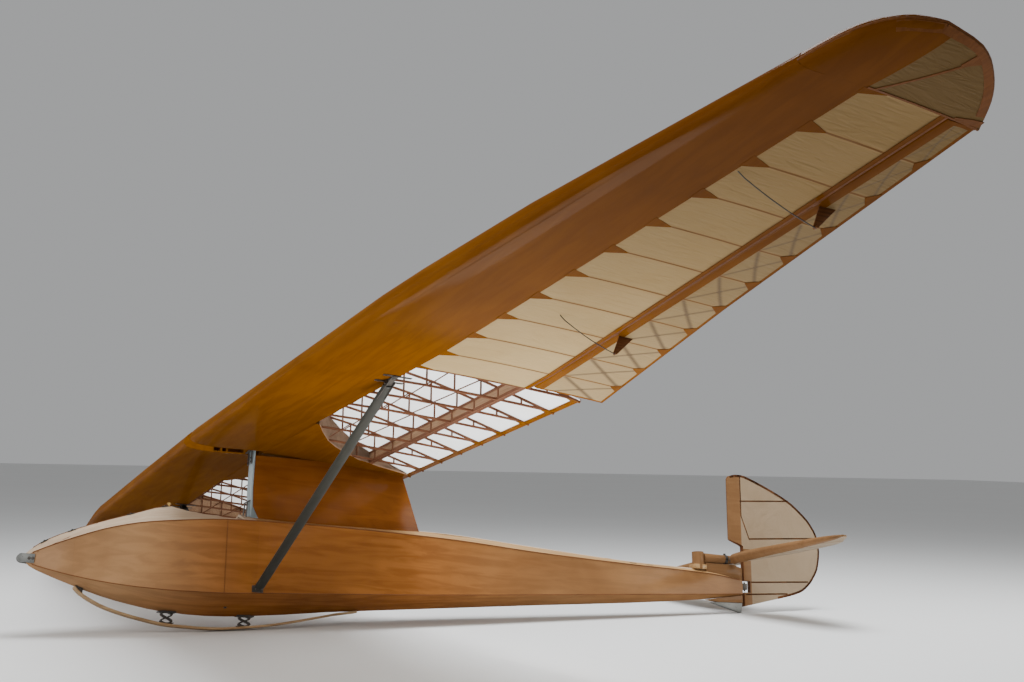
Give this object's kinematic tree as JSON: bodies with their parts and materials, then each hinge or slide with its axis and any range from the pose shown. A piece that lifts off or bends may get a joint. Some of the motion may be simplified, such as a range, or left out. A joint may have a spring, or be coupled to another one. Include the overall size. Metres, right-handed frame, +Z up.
{
  "type": "sailplane glider",
  "caption": "High-wing strut-braced wooden sailplane: open cockpit, pylon, bowed skid, uncovered inner wing ribs, hinged ailerons, tailplane and rudder.",
  "frame": {"origin": "centre of the bounding box's base, on the floor that the parked glider stands on", "axes": "+X level and forward, +Y level to port along the span, +Z up from the floor; the airframe rests on its main skid, tail skid and starboard wing tip, so it is banked about 11 degrees in this frame"},
  "size_m": [6.0196, 12.0626, 2.509],
  "materials": {
    "varnished_ply": "gloss",
    "honey_ply": "satin",
    "pale_ply": "satin",
    "spruce": "satin",
    "doped_fabric": "matte",
    "strut_paint": "satin",
    "post_paint": "satin",
    "dark_steel": "satin",
    "bright_steel": "satin",
    "leather": "matte",
    "panel_black": "matte"
  },
  "bodies": {
    "airframe": {"leading_edge_port": "varnished_ply", "wing_panel_port": "doped_fabric", "wing_tip_port": "doped_fabric", "wing_frame_port": "spruce", "upper_cover_port": "doped_fabric", "root_fillet_port": "varnished_ply", "leading_edge_starboard": "varnished_ply", "wing_panel_starboard": "doped_fabric", "wing_tip_starboard": "doped_fabric", "wing_frame_starboard": "spruce", "upper_cover_starboard": "doped_fabric", "root_fillet_starboard": "varnished_ply", "wing_centre_block": "varnished_ply", "nose_block": "honey_ply", "fuselage_bottom": "honey_ply", "fuselage_side_port": "honey_ply", "fuselage_side_starboard": "honey_ply", "nose_deck": "pale_ply", "cockpit_rim": "pale_ply", "fuselage_rear": "honey_ply", "cockpit_floor": "pale_ply", "cockpit_seat": "leather", "seat_riser": "pale_ply", "instrument_panel": "panel_black", "control_stick": "dark_steel", "rudder_bar": "spruce", "tail_skid": "honey_ply", "tail_skid_plate": "bright_steel", "nose_hook": "bright_steel", "main_skid": "spruce", "skid_front_bracket": "dark_steel", "skid_mount_front": "dark_steel", "skid_mount_rear": "dark_steel", "pylon": "varnished_ply", "pylon_front_post": "post_paint", "strut_port": "strut_paint", "strut_foot_port": "dark_steel", "strut_head_port": "dark_steel", "strut_starboard": "strut_paint", "strut_foot_starboard": "dark_steel", "strut_head_starboard": "dark_steel", "tailplane_post": "honey_ply", "stern_fin": "honey_ply", "tailplane_fairing": "honey_ply", "rudder_hinge": "dark_steel"},
    "aileron_port": {"aileron_port": "doped_fabric"},
    "aileron_starboard": {"aileron_starboard": "doped_fabric"},
    "elevator": {"tailplane_port": "doped_fabric", "tailplane_starboard": "doped_fabric", "tailplane_tube": "bright_steel"},
    "rudder": {"rudder": "doped_fabric"}
  },
  "joints": [
    {"name": "aileron_port_hinge", "type": "hinge", "parent": "airframe", "child": "aileron_port", "pos_m": [0.76978, 4.06126, 1.91638], "axis": [0.0384, 0.9717, 0.2332], "range_deg": [-20, 20]},
    {"name": "aileron_starboard_hinge", "type": "hinge", "parent": "airframe", "child": "aileron_starboard", "pos_m": [0.90057, -4.00782, 0.30416], "axis": [-0.0701, 0.985, 0.1578], "range_deg": [-20, 20]},
    {"name": "elevator_hinge", "type": "hinge", "parent": "airframe", "child": "elevator", "pos_m": [-2.14042, 0.12218, 0.39113], "axis": [-0.0159, 0.9805, 0.1959], "range_deg": [-15, 15]},
    {"name": "rudder_hinge_line", "type": "hinge", "parent": "airframe", "child": "rudder", "pos_m": [-2.2596, 0.16031, 0.19062], "axis": [-0.0793, -0.1965, 0.9773], "range_deg": [-28, 28]}
  ],
  "couplings": [
    {"joint": "aileron_starboard_hinge", "follows": "aileron_port_hinge", "ratio": -1}
  ]
}
